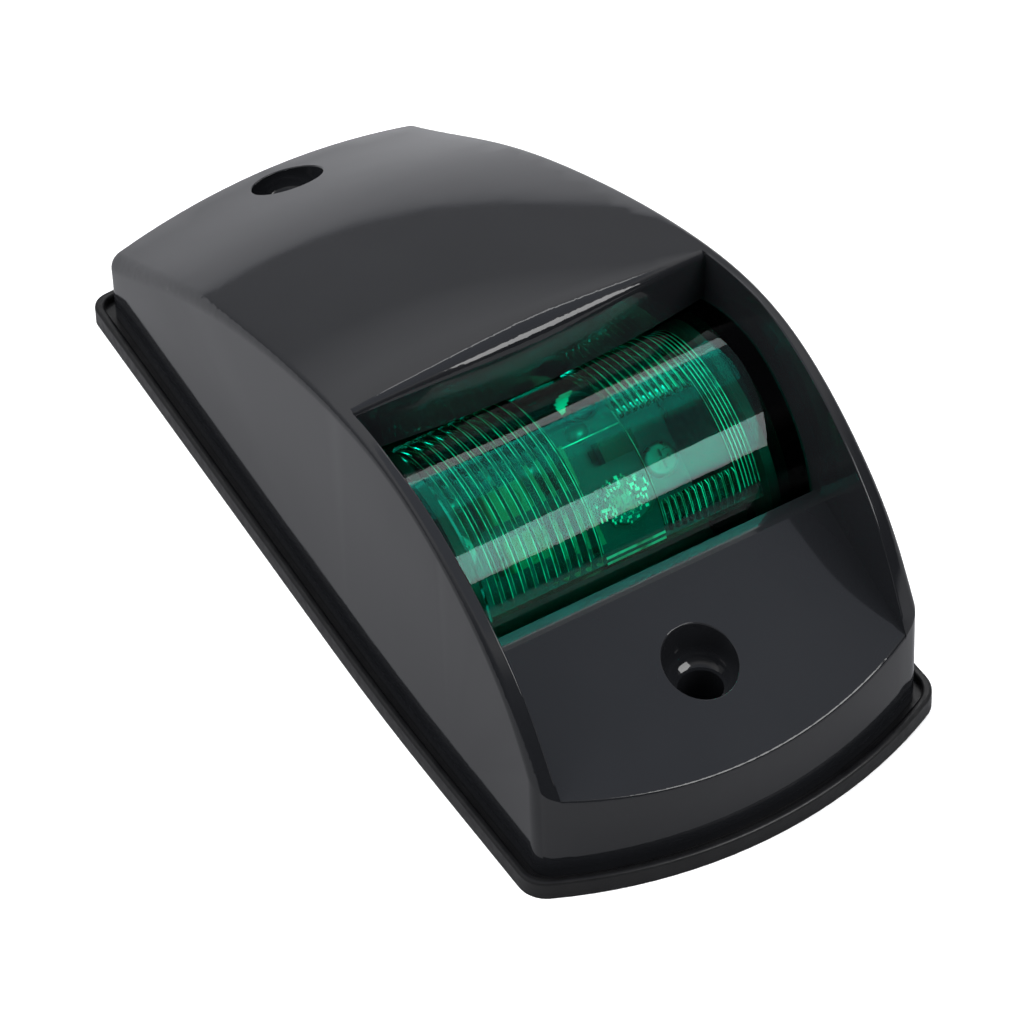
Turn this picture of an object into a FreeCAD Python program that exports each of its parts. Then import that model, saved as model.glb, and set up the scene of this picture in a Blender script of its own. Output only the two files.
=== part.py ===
import FreeCAD, Part
import math
import os

# Side-mounted LED navigation light, millimetres.
# Frame: +Z up from the mounting surface (underside of the gasket), -Y is the
# end that emits light, +X across.  Origin: middle of the gasket's underside.

V = FreeCAD.Vector

# limits used when shapes are cut, safely outside the part
FAR_Y, WIDE_X, HIGH_Z = -70.0, 40.0, 60.0

# ---------------------------------------------------------------- plan outline
HALF_WIDTH = 25.75            # housing, from the front corners back to the taper
FRONT_RADIUS = 56.6           # bowed front wall, centred on the origin
REAR_RADIUS = 307.0           # rear wall, almost straight
REAR_Y = 56.7                 # middle of the rear wall
TAPER_START_Y = -19.0         # the flanks run parallel in front of this
TAPER_SLOPE = 0.048           # narrowing towards the rear, per mm
TAPER_BEND = 12.0             # half the length of the bend into the taper
FRONT_CORNER_R = 2.6
REAR_CORNER_R = 1.2
CORNER_EASE, CORNER_MIN_R = 0.6, 0.6  # corners tighten as the outline moves inwards

# ------------------------------------------------------------- crowned top skin
TOE_Y, TOE_Z = -50.9, 14.8            # lower front end of the side fins
KNEE_Y, KNEE_Z = -45.5, 24.6
SHIN_Y, SHIN_Z = -37.1, 33.0
APEX_Y, APEX_Z = -22.1, 39.9
BROW_Z_Y, BROW_Z = -4.4, 38.6
MID_Y, MID_Z = 15.1, 32.3
SLOPE_Y, SLOPE_Z = 34.6, 23.2
TAIL_Y, TAIL_Z = 55.8, 10.3
NOSE_Y, NOSE_Z = -58.0, 8.6           # carries the skin past the front wall
END_Y, END_Z = 66.0, 3.0              # carries the skin past the rear wall
CROWN = 3.2                           # extra height on the centre line
SKIN_WALL = 2.2
SIDE_WALL = 2.4
CREASE_R = 1.1                # along the fins
REAR_CREASE_R = 2.3           # softer towards the rear

# ---------------------------------------------------------------- front recess
FLOOR_FRONT_Y, FLOOR_FRONT_Z = -50.5, 14.5
FLOOR_SLOPE = 0.394
LEDGE_FRONT_Y, LEDGE_Z = -34.2, 20.95
LEDGE_REAR_Y = -32.05
FLOOR_WALL = 2.0
BROW_SIDE_Y = -8.7            # wall over the lens, where it meets the fins
BROW_BULGE = 2.5              # the same wall, further forward in the middle
BROW_R = 2.3                  # rolled edge between the top and that wall
BROW_END_R = 0.8              # the same edge beside the fins
SILL_R = 0.6                  # front edge of the recess floor
VISOR_WALL = 1.8
CHAMBER_TOP = 31.0            # hollow behind the recess, inside the lens opening
FIN_WALL_LOW, FIN_WALL_HIGH = 2.7, 1.3
FIN_LOW_Z, FIN_HIGH_Z = 10.0, 50.0

# ------------------------------------------------------------------------ lens
LENS_Y, LENS_Z, LENS_R = -15.2, 17.25, 16.65
LENS_WALL = 1.9
LENS_GAP = 0.3
LENS_FLANGE_LOW, LENS_FLANGE_TOP = 16.2, 18.0
LENS_FLANGE_OUT = 2.4
LENS_PLAN_BACK = 40.0         # the lens plan runs this far behind the recess wall
SEAL_WIDTH = 1.8
SEAL_END_GAP, SEAL_REAR_GAP = 1.2, 2.2   # short of the flange's ends, front and rear
SEAL_STEP = 0.1

# ---------------------------------------------------------------- base stack
GASKET_T = 1.5                # housing rests on the gasket at this height
GASKET_FLANGE = 2.0           # gasket shows this far outside the housing
BEAD_W = 1.1
BEAD_TOP = 2.6
BEAD_R = 0.45
WINDOW_HALF, WINDOW_FRONT_Y, WINDOW_REAR_Y = 15.0, -33.0, 36.0
WINDOW_R = 4.0
PLATE_T = 2.0
PLATE_CLEAR = 0.25

# --------------------------------------------------------------- mounting holes
FRONT_HOLE_Y, REAR_HOLE_Y = -44.25, 49.1
HOLE_R = 2.7
HEAD_R = 4.4                  # room for the head of a No. 8 screw
SEAT_Z = 12.4
BOSS_R = 6.4
SEAT_RING = 0.45              # flat ring round the hole, under the screw head
BOWL_DEPTH, BOWL_RISE, BOWL_EASE = 2.6, 1.0, 0.35

# ------------------------------------------------------------ fixings and entry
SCREW_R, SCREW_HEAD_R = 1.45, 2.7
THREAD_R = 1.3                # core of the screw, and its pilot hole
SCREW_CLEAR = 0.25            # hole in the plate, wider than the screw
HEAD_CLEAR = 0.15
TIP_ROOM = 0.6
POINT_R, POINT_L = 0.4, 1.0
CROSS_W, CROSS_HALF, CROSS_DEEP = 0.5, 1.5, 0.8
SCREW_BOSS_R = 3.0
FRONT_SCREW_X, FRONT_SCREW_Y = 16.5, -45.5
REAR_SCREW_X, REAR_SCREW_Y = 14.5, 38.0
SCREW_TIP_Z = 9.6
GROMMET_Y = 24.0
GROMMET_R, GROMMET_BORE_R, GROMMET_LIP_R = 4.4, 2.4, 5.8
GROMMET_LIP_T, GROMMET_NECK_R, GROMMET_NECK_L = 1.2, 3.4, 3.6

# ----------------------------------------------------------------- light engine
BOARD_TILT = 50.0             # degrees the board's face looks above -Y
BOARD_Y, BOARD_Z = -13.6, 15.3
BOARD_W, BOARD_L, BOARD_T = 32.0, 17.0, 1.6
PAD_T = 0.5
SINK_T = 2.5
SINK_W = 33.4
SINK_BACK_Y = -4.6
SINK_LIP = 0.6                # bracket's face runs on past the board
OPTIC_R, OPTIC_WALL, RIB_H = 14.2, 1.5, 0.8
OPTIC_HALF, OPTIC_WINDOW = 17.0, 4.6
OPTIC_FROM, OPTIC_TO = -12.0, 134.0   # degrees above -Y about the lens axis
RIB_PITCH, RIB_RISE, RIB_SINK = 1.55, 0.1, 0.05
OPTIC_LEG_T, OPTIC_LEG_FRONT, OPTIC_LEG_REAR = 1.4, 11.5, 7.5
OPTIC_LEG_TOP, CHEEK_DEEP = 4.0, 0.6
CHEEK_LOW, CHEEK_HIGH = 4.0, 8.0
SCREEN_T, SCREEN_X, SCREEN_R = 1.2, 18.9, 14.2
SCREEN_DROP, SCREEN_STAND = 3.0, 9.0
BOARD_CORNER_R = 1.0
BOARD_SCREW_X = 13.2
BOARD_SCREW_R, BOARD_SCREW_DEEP = 1.0, 4.2
BOARD_HOLE_R, PAD_HOLE_R, PAD_INSET = 1.3, 1.6, 0.5
PAN_HEAD_R, PAN_HEAD_H, PAN_ROUND = 2.1, 1.3, 0.5
PAN_CROSS, PAN_CROSS_LOW = 1.2, 0.6
LED_SPACING = 7.6
LEFT_RESISTOR_X, RIGHT_RESISTOR_X = -9.6, -6.8
SOLDER_X, SOLDER_Y = 5.4, 7.0
SINK_SCREW_X, SINK_SCREW_Y = 12.0, 8.5
SINK_FOOT_Y = 13.0
POST_X, POST_FRONT_Y, POST_REAR_Y = 19.2, -32.4, 2.4
POST_HALF_W, POST_HALF_L = 1.5, 1.2   # posts of the back plate, under the lens flange


# ------------------------------------------------------------------- helpers
def half_width(y):
    """Half width of the housing at a station along its length."""
    return HALF_WIDTH - TAPER_SLOPE * max(0.0, y - TAPER_START_Y)


def plan_edges(inset, z):
    """Closed plan outline of the housing, moved inwards by inset."""
    front_r = FRONT_RADIUS - inset
    side = HALF_WIDTH - inset
    front_y = -math.sqrt(front_r ** 2 - side ** 2)
    rear_mid = REAR_Y - inset
    rear_side = half_width(rear_mid) - inset
    rear_y = rear_mid - (REAR_RADIUS - math.sqrt(REAR_RADIUS ** 2 - rear_side ** 2))
    bend_front_y = TAPER_START_Y - TAPER_BEND
    bend_rear_y = TAPER_START_Y + TAPER_BEND
    bend_x = half_width(bend_rear_y) - inset
    bend_mid = side - TAPER_SLOPE * TAPER_BEND / 4.0
    points = [V(side, front_y, z), V(side, bend_front_y, z),
              V(bend_x, bend_rear_y, z), V(rear_side, rear_y, z)]
    mirror = [V(-p.x, p.y, z) for p in points]
    return [
        Part.Arc(mirror[0], V(0, -front_r, z), points[0]).toShape(),
        Part.makeLine(points[0], points[1]),
        Part.Arc(points[1], V(bend_mid, TAPER_START_Y, z), points[2]).toShape(),
        Part.makeLine(points[2], points[3]),
        Part.Arc(points[3], V(0, rear_mid, z), mirror[3]).toShape(),
        Part.makeLine(mirror[3], mirror[2]),
        Part.Arc(mirror[2], V(-bend_mid, TAPER_START_Y, z), mirror[1]).toShape(),
        Part.makeLine(mirror[1], mirror[0]),
    ]


def round_uprights(solid, front_r, rear_r):
    """Round the four upright corners of a plan prism."""
    for radius, towards_rear in ((front_r, False), (rear_r, True)):
        if radius <= 0:
            continue
        chosen = []
        for edge in solid.Edges:
            box = edge.BoundBox
            upright = box.XLength < 1e-3 and box.YLength < 1e-3
            at_end = box.YMin > WINDOW_REAR_Y if towards_rear else box.YMax < WINDOW_FRONT_Y
            if upright and at_end:
                chosen.append(edge)
        solid = solid.makeFillet(radius, chosen)
    return solid


def plan_prism(inset, low, high):
    """Upright block with the housing's plan, moved inwards by inset."""
    face = Part.Face(Part.Wire(plan_edges(inset, low)))
    block = face.extrude(V(0, 0, high - low))
    front_r = max(FRONT_CORNER_R - inset * CORNER_EASE, CORNER_MIN_R)
    rear_r = max(REAR_CORNER_R - inset * CORNER_EASE, REAR_CORNER_R)
    return round_uprights(block, front_r, rear_r)


def slab_x(points, x0, x1):
    """Prism along X from a profile given as (y, z) corners."""
    corners = [V(x0, y, z) for y, z in points]
    face = Part.Face(Part.makePolygon(corners + corners[:1]))
    return face.extrude(V(x1 - x0, 0, 0))


def rod_x(y, z, radius, x0, x1):
    """Cylinder along X."""
    return Part.makeCylinder(radius, x1 - x0, V(x0, y, z), V(1, 0, 0))


def rod_z(x, y, radius, low, high):
    """Upright cylinder."""
    return Part.makeCylinder(radius, high - low, V(x, y, low))


def block(x0, x1, y0, y1, z0, z1):
    """Box between two corners."""
    return Part.makeBox(x1 - x0, y1 - y0, z1 - z0, V(x0, y0, z0))


def below_skin(drop):
    """Everything under the crowned top skin, lowered by drop."""
    stations = [(NOSE_Y, NOSE_Z), (TOE_Y, TOE_Z), (KNEE_Y, KNEE_Z), (SHIN_Y, SHIN_Z),
                (APEX_Y, APEX_Z), (BROW_Z_Y, BROW_Z), (MID_Y, MID_Z),
                (SLOPE_Y, SLOPE_Z), (TAIL_Y, TAIL_Z), (END_Y, END_Z)]
    columns, beyond = 9, 3.0
    rows = []
    for y, z in stations:
        edge = half_width(y)
        row = []
        for i in range(columns):
            x = (2.0 * i / (columns - 1) - 1.0) * (HALF_WIDTH + beyond)
            row.append(V(x, y, z - drop + CROWN * (1.0 - (x / edge) ** 2)))
        rows.append(row)
    surface = Part.BSplineSurface()
    surface.interpolate(rows)
    return surface.toShape().extrude(V(0, 0, FAR_Y))


def floor_z(y):
    """Height of the sloping recess floor at a station."""
    return FLOOR_FRONT_Z + FLOOR_SLOPE * (y - FLOOR_FRONT_Y)


def above_floor():
    """Space over the sloping floor and the level ledge, out past the front."""
    behind_y = 20.0
    return slab_x([(FAR_Y, floor_z(FAR_Y)), (LEDGE_FRONT_Y, LEDGE_Z), (behind_y, LEDGE_Z),
                   (behind_y, HIGH_Z), (FAR_Y, HIGH_Z)], -WIDE_X, WIDE_X)


def recess_outline(inset, back, z):
    """Plan of the space between the fins, open to the front."""
    side = HALF_WIDTH - inset
    rear_y = BROW_SIDE_Y + back
    rear_x = half_width(rear_y) - inset
    left = [V(-rear_x, rear_y, z), V(-side, TAPER_START_Y, z), V(-side, FAR_Y, z)]
    right = [V(-p.x, p.y, z) for p in reversed(left)]
    rear = Part.Arc(right[2], V(0, rear_y - BROW_BULGE, z), left[0]).toShape()
    lines = [Part.makeLine(a, b) for a, b in zip(left + right, (left + right)[1:])]
    return Part.Wire(lines + [rear])


def recess_space():
    """Tapered space between the fins, in front of the wall over the lens."""
    low = recess_outline(FIN_WALL_LOW, 0.0, FIN_LOW_Z)
    high = recess_outline(FIN_WALL_HIGH, 0.0, FIN_HIGH_Z)
    return Part.makeLoft([low, high], True, True)


# ------------------------------------------------------------------ sub-parts
def make_base_gasket():
    """Soft ring under the housing with a raised bead round its edge."""
    pad = plan_prism(-GASKET_FLANGE, 0.0, GASKET_T)
    bead = plan_prism(-GASKET_FLANGE, 0.0, BEAD_TOP)
    bead = bead.cut(plan_prism(BEAD_W - GASKET_FLANGE, -1.0, BEAD_TOP + 1.0))
    rims = [e for e in bead.Edges if e.BoundBox.ZMin > BEAD_TOP - 0.01]
    bead = bead.makeFillet(BEAD_R, rims)
    window = block(-WINDOW_HALF, WINDOW_HALF, WINDOW_FRONT_Y, WINDOW_REAR_Y,
                   -1.0, GASKET_T + 1.0)
    uprights = [e for e in window.Edges if e.BoundBox.ZLength > GASKET_T]
    body = pad.fuse(bead).cut(window.makeFillet(WINDOW_R, uprights))
    for y in (FRONT_HOLE_Y, REAR_HOLE_Y):
        body = body.cut(rod_z(0, y, HOLE_R, -1.0, GASKET_T + 1.0))
    return body.removeSplitter()


def edges_where(solid, test):
    """Edges of a solid whose bounding box passes a test."""
    return [edge for edge in solid.Edges if test(edge.BoundBox)]


def housing_outside():
    """Outside of the housing: plan, crown, and rolled edges round the top."""
    low = GASKET_T
    sharp = Part.Face(Part.Wire(plan_edges(0.0, low))).extrude(V(0, 0, HIGH_Z - low))
    under_floor = slab_x([(FAR_Y, 0.0), (FAR_Y, floor_z(FAR_Y)),
                          (LEDGE_FRONT_Y, LEDGE_Z), (LEDGE_FRONT_Y, 0.0)], -WIDE_X, WIDE_X)
    ramp = sharp.common(under_floor)
    body = sharp.common(below_skin(0.0).fuse(under_floor))
    rear_flank_y = TAPER_START_Y + TAPER_BEND
    flanks = edges_where(body, lambda box: abs(box.YMin - rear_flank_y) < 0.1
                         and box.YLength > REAR_Y and box.ZMin > TAIL_Z - 2.0)
    body = body.makeFillet(REAR_CREASE_R, CREASE_R, flanks)
    tail = edges_where(body, lambda box: box.YMin > REAR_Y - 4.0
                       and box.XLength > HALF_WIDTH and box.ZMin > TAIL_Z - 4.0)
    body = body.makeFillet(REAR_CREASE_R, tail)
    body = body.common(plan_prism(0.0, low, HIGH_Z))
    body = body.cut(recess_space().common(above_floor())).removeSplitter()
    sill = edges_where(ramp, lambda box: box.XLength > HALF_WIDTH and box.YMax < TOE_Y + 1.0
                       and box.ZMin > LEDGE_Z / 2.0)
    body = body.cut(ramp.cut(ramp.makeFillet(SILL_R, sill)).common(recess_space()))
    half = body.common(block(-WIDE_X, 0.0, FAR_Y, -FAR_Y, 0.0, HIGH_Z))
    brow = edges_where(half, lambda box: box.XLength > HALF_WIDTH / 2.0
                       and box.ZMin > LEDGE_Z + 5.0
                       and BROW_SIDE_Y - BROW_BULGE - 1.0 < box.YMin < BROW_SIDE_Y)
    half = half.makeFillet(BROW_R, BROW_END_R, brow)
    return half.fuse(half.mirror(V(0, 0, 0), V(1, 0, 0))).removeSplitter()


def bowl(y, surface_z):
    """Rounded seat for a screw head, opening upwards from SEAT_Z."""
    throat = HOLE_R + SEAT_RING
    wall_z = SEAT_Z + BOWL_DEPTH
    profile = [
        Part.makeLine(V(0, y, SEAT_Z), V(throat, y, SEAT_Z)),
        Part.Arc(V(throat, y, SEAT_Z), V(HEAD_R - BOWL_EASE, y, SEAT_Z + BOWL_RISE),
                 V(HEAD_R, y, wall_z)).toShape(),
        Part.makeLine(V(HEAD_R, y, wall_z), V(HEAD_R, y, surface_z)),
        Part.makeLine(V(HEAD_R, y, surface_z), V(0, y, surface_z)),
        Part.makeLine(V(0, y, surface_z), V(0, y, SEAT_Z)),
    ]
    face = Part.Face(Part.Wire(profile))
    return face.revolve(V(0, y, 0), V(0, 0, 1), 360.0)


def housing_cavity():
    """Hollow of the housing: rear chamber, front chamber and lens opening."""
    inner = plan_prism(SIDE_WALL, 0.0, HIGH_Z)
    split_y = BROW_SIDE_Y + VISOR_WALL
    rear = inner.common(below_skin(SKIN_WALL))
    rear = rear.common(block(-WIDE_X, WIDE_X, split_y, -FAR_Y, -1.0, HIGH_Z))
    rib_y = LENS_Y + LENS_R + LENS_FLANGE_OUT
    rib = block(-WIDE_X, WIDE_X, rib_y - SEAL_WIDTH, rib_y, LEDGE_Z - FLOOR_WALL, HIGH_Z)
    rear = rear.cut(rib)
    front = slab_x([(FAR_Y, 0.0), (FAR_Y, floor_z(FAR_Y) - FLOOR_WALL),
                    (LEDGE_FRONT_Y, LEDGE_Z - FLOOR_WALL),
                    (LEDGE_REAR_Y, LEDGE_Z - FLOOR_WALL), (LEDGE_REAR_Y, CHAMBER_TOP),
                    (split_y, CHAMBER_TOP), (split_y, 0.0)], -WIDE_X, WIDE_X)
    return rear.fuse(inner.common(front))


def make_housing():
    """Moulded shell: crowned top, side fins, recess floor, bosses."""
    mass = housing_outside()
    shell = mass.cut(housing_cavity())
    posts = [rod_z(0, FRONT_HOLE_Y, BOSS_R, GASKET_T, HIGH_Z),
             rod_z(0, REAR_HOLE_Y, BOSS_R, GASKET_T, HIGH_Z)]
    plate_top = GASKET_T + PLATE_T
    for x, y in screw_places():
        posts.append(rod_z(x, y, SCREW_BOSS_R, plate_top, HIGH_Z))
    for post in posts:
        shell = shell.fuse(post.common(mass))
    for x, y in screw_places():
        shell = shell.cut(rod_z(x, y, THREAD_R, 0.0, SCREW_TIP_Z + TIP_ROOM))
    for y in (FRONT_HOLE_Y, REAR_HOLE_Y):
        shell = shell.cut(rod_z(0, y, HOLE_R, 0.0, SEAT_Z + BOWL_DEPTH))
        shell = shell.cut(bowl(y, HIGH_Z))
    clearance = rod_x(LENS_Y, LENS_Z, LENS_R + LENS_GAP, -WIDE_X, WIDE_X)
    return shell.cut(clearance.common(lens_plan(FIN_WALL_LOW))).removeSplitter()


def screw_places():
    """The four places where the back plate is screwed to the housing."""
    return [(FRONT_SCREW_X, FRONT_SCREW_Y), (-FRONT_SCREW_X, FRONT_SCREW_Y),
            (REAR_SCREW_X, REAR_SCREW_Y), (-REAR_SCREW_X, REAR_SCREW_Y)]


def make_back_plate():
    """Plate that closes the housing from below and carries the light engine."""
    top = GASKET_T + PLATE_T
    plate = plan_prism(SIDE_WALL + PLATE_CLEAR, GASKET_T, top)
    for y in (FRONT_HOLE_Y, REAR_HOLE_Y):
        plate = plate.cut(rod_z(0, y, BOSS_R + LENS_GAP, 0.0, HIGH_Z))
    for x, y in screw_places():
        plate = plate.cut(rod_z(x, y, SCREW_R + SCREW_CLEAR, 0.0, HIGH_Z))
        plate = plate.cut(screw_head(x, y, GASKET_T, HEAD_CLEAR))
    for x in (-SINK_SCREW_X, SINK_SCREW_X):
        plate = plate.cut(rod_z(x, SINK_SCREW_Y, SCREW_R + SCREW_CLEAR, 0.0, HIGH_Z))
        plate = plate.cut(screw_head(x, SINK_SCREW_Y, GASKET_T, HEAD_CLEAR))
    plate = plate.cut(rod_z(0, GROMMET_Y, GROMMET_R, 0.0, HIGH_Z))
    for x in (-POST_X, POST_X):
        for y in (POST_FRONT_Y, POST_REAR_Y):
            post = block(x - POST_HALF_W, x + POST_HALF_W, y - POST_HALF_L, y + POST_HALF_L,
                         GASKET_T + PLATE_T / 2, LENS_FLANGE_LOW)
            plate = plate.fuse(post)
    return plate.removeSplitter()


def screw_head(x, y, base_z, grow):
    """Countersunk head with its flat face at base_z, facing down."""
    wide = SCREW_HEAD_R + grow
    deep = SCREW_HEAD_R - SCREW_R
    return Part.makeCone(wide, SCREW_R + grow, deep, V(x, y, base_z), V(0, 0, 1))


def countersunk_screw(x, y, tip_z):
    """Screw driven upwards, its flat head level with the plate's underside."""
    body = screw_head(x, y, GASKET_T, 0.0)
    body = body.fuse(rod_z(x, y, THREAD_R, GASKET_T + CROSS_DEEP / 2, tip_z - POINT_L))
    body = body.fuse(Part.makeCone(THREAD_R, POINT_R, POINT_L, V(x, y, tip_z - POINT_L)))
    return cut_cross(body, x, y, CROSS_HALF, 0.0, GASKET_T + CROSS_DEEP).removeSplitter()


def cut_cross(body, x, y, reach, low, high):
    """Cross recess for a driver, between two heights."""
    half = CROSS_W / 2
    body = body.cut(block(x - reach, x + reach, y - half, y + half, low, high))
    return body.cut(block(x - half, x + half, y - reach, y + reach, low, high))


def make_plate_screws():
    """Four screws that hold the back plate to the housing."""
    return Part.Compound([countersunk_screw(x, y, SCREW_TIP_Z) for x, y in screw_places()])


def make_bracket_screws():
    """Two screws that hold the bracket's foot to the back plate."""
    tip = GASKET_T + PLATE_T + SINK_T
    return Part.Compound([countersunk_screw(x, SINK_SCREW_Y, tip)
                          for x in (-SINK_SCREW_X, SINK_SCREW_X)])


def make_lens():
    """Tinted half cylinder with closed ends, standing on a flat flange."""
    fit = FIN_WALL_LOW + LENS_GAP
    upper = block(-WIDE_X, WIDE_X, FAR_Y, -FAR_Y, LENS_FLANGE_LOW, HIGH_Z)
    outer = rod_x(LENS_Y, LENS_Z, LENS_R, -WIDE_X, WIDE_X).common(lens_plan(fit))
    hollow = rod_x(LENS_Y, LENS_Z, LENS_R - LENS_WALL, -WIDE_X, WIDE_X)
    hollow = hollow.common(lens_plan(fit + LENS_WALL))
    reach = LENS_R + LENS_FLANGE_OUT
    flange = lens_plan(fit)
    flange = flange.common(block(-WIDE_X, WIDE_X, LENS_Y - reach, LENS_Y + reach,
                                 LENS_FLANGE_LOW, LENS_FLANGE_TOP))
    body = outer.common(upper).fuse(flange)
    under = block(-WIDE_X, WIDE_X, FAR_Y, -FAR_Y, 0.0, LENS_FLANGE_TOP)
    drop = hollow.common(under).BoundBox
    passage = lens_plan(fit + LENS_WALL)
    passage = passage.common(block(-WIDE_X, WIDE_X, drop.YMin, drop.YMax, 0.0,
                                   LENS_FLANGE_TOP))
    return body.cut(hollow).cut(passage).removeSplitter()


def lens_plan(inset):
    """Space between the fins, moved in from the housing's flanks by inset."""
    low = recess_outline(inset, LENS_PLAN_BACK, FIN_LOW_Z)
    high = recess_outline(inset - FIN_WALL_LOW + FIN_WALL_HIGH, LENS_PLAN_BACK, FIN_HIGH_Z)
    return Part.makeLoft([low, high], True, True)


def make_lens_seal():
    """Seal squeezed between the lens flange and the ledges above it."""
    low, high = LENS_FLANGE_TOP, LEDGE_Z - FLOOR_WALL
    reach = LENS_R + LENS_FLANGE_OUT
    front_y = LEDGE_FRONT_Y + SEAL_STEP
    half = HALF_WIDTH - FIN_WALL_LOW - SEAL_END_GAP
    front = block(-half, half, front_y, front_y + SEAL_WIDTH, low, high)
    rear_y = LENS_Y + reach
    rear_half = HALF_WIDTH - FIN_WALL_LOW - SEAL_REAR_GAP
    rear = block(-rear_half, rear_half, rear_y - SEAL_WIDTH, rear_y, low, high)
    return Part.Compound([front, rear])


def optic_shell(radius_in, radius_out, half):
    """Part-cylinder about the lens axis between the optic's two limits."""
    span = OPTIC_TO - OPTIC_FROM
    x0 = -half
    profile = Part.makePolygon([V(x0, 0, radius_in), V(half, 0, radius_in),
                                V(half, 0, radius_out), V(x0, 0, radius_out),
                                V(x0, 0, radius_in)])
    return turn_profile(Part.Face(profile), span)


def turn_profile(face, span):
    """Turn a profile drawn above the X axis about the lens axis."""
    body = face.revolve(V(0, 0, 0), V(1, 0, 0), -span)
    body.rotate(V(0, 0, 0), V(1, 0, 0), 90.0 - OPTIC_FROM)
    body.translate(V(0, LENS_Y, LENS_Z))
    return body


def rib_profile(side):
    """Saw-tooth of prism ribs on one side of the clear window."""
    base = OPTIC_R - RIB_H - RIB_SINK
    points = [V(side * OPTIC_WINDOW, 0, base)]
    x = OPTIC_WINDOW
    while x + RIB_PITCH <= OPTIC_HALF:
        points.append(V(side * (x + RIB_RISE), 0, OPTIC_R))
        points.append(V(side * (x + RIB_PITCH), 0, OPTIC_R - RIB_H))
        x += RIB_PITCH
    points.append(V(side * x, 0, base))
    return Part.Face(Part.makePolygon(points + points[:1]))


def make_fresnel_optic():
    """Clear prism cover over the LEDs, with a leg at each end."""
    inner = OPTIC_R - OPTIC_WALL - RIB_H
    body = optic_shell(inner, OPTIC_R - RIB_H, OPTIC_HALF)
    for side in (-1, 1):
        body = body.fuse(turn_profile(rib_profile(side), OPTIC_TO - OPTIC_FROM))
    plate_top = GASKET_T + PLATE_T
    for x0 in (-OPTIC_HALF - OPTIC_LEG_T, OPTIC_HALF):
        x1 = x0 + OPTIC_LEG_T
        leg = block(x0, x1, LENS_Y - OPTIC_LEG_FRONT, LENS_Y - OPTIC_LEG_REAR, plate_top,
                    LENS_Z + OPTIC_LEG_TOP)
        cheek = rod_x(LENS_Y, LENS_Z, OPTIC_R - RIB_H, x0, x1)
        cheek = cheek.cut(rod_x(LENS_Y, LENS_Z, inner - CHEEK_DEEP, x0, x1))
        cheek = cheek.cut(block(x0, x1, LENS_Y, -FAR_Y, 0.0, LENS_Z + CHEEK_HIGH))
        cheek = cheek.cut(block(x0, x1, FAR_Y, -FAR_Y, 0.0, LENS_Z - CHEEK_LOW))
        body = body.fuse([cheek, leg])
    return body.removeSplitter()


def make_cutoff_screen(side):
    """Black end screen that limits how far round the light is seen."""
    x0 = SCREEN_X if side > 0 else -SCREEN_X - SCREEN_T
    disc = rod_x(LENS_Y, LENS_Z, SCREEN_R, x0, x0 + SCREEN_T)
    disc = disc.common(block(-WIDE_X, WIDE_X, FAR_Y, -FAR_Y, LENS_Z - SCREEN_DROP, HIGH_Z))
    plate_top = GASKET_T + PLATE_T
    stand = block(x0, x0 + SCREEN_T, LENS_Y - SCREEN_STAND, LENS_Y + SCREEN_STAND,
                  plate_top, LENS_Z)
    return disc.fuse(stand).removeSplitter()


def board_frame(shape):
    """Move a shape drawn on a level board to the tilted board."""
    shape.rotate(V(0, 0, 0), V(1, 0, 0), 90.0 - BOARD_TILT)
    shape.translate(V(0, BOARD_Y, BOARD_Z))
    return shape


def make_circuit_board():
    """Board drawn level with its face at zero, then tilted."""
    half_w, half_l = BOARD_W / 2, BOARD_L / 2
    board = block(-half_w, half_w, -half_l, half_l, -BOARD_T, 0.0)
    uprights = [e for e in board.Edges if e.BoundBox.ZLength > BOARD_T / 2]
    board = board.makeFillet(BOARD_CORNER_R, uprights)
    for x in (-BOARD_SCREW_X, BOARD_SCREW_X):
        board = board.cut(rod_z(x, 0, BOARD_HOLE_R, -BOARD_T, 0.0))
    return board_frame(board)


def make_thermal_pad():
    """Soft pad that carries heat from the board to the bracket."""
    half_w, half_l = BOARD_W / 2 - PAD_INSET, BOARD_L / 2 - PAD_INSET
    pad = block(-half_w, half_w, -half_l, half_l, -BOARD_T - PAD_T, -BOARD_T)
    for x in (-BOARD_SCREW_X, BOARD_SCREW_X):
        pad = pad.cut(rod_z(x, 0, PAD_HOLE_R, -BOARD_T - PAD_T, 0.0))
    return board_frame(pad)


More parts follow.
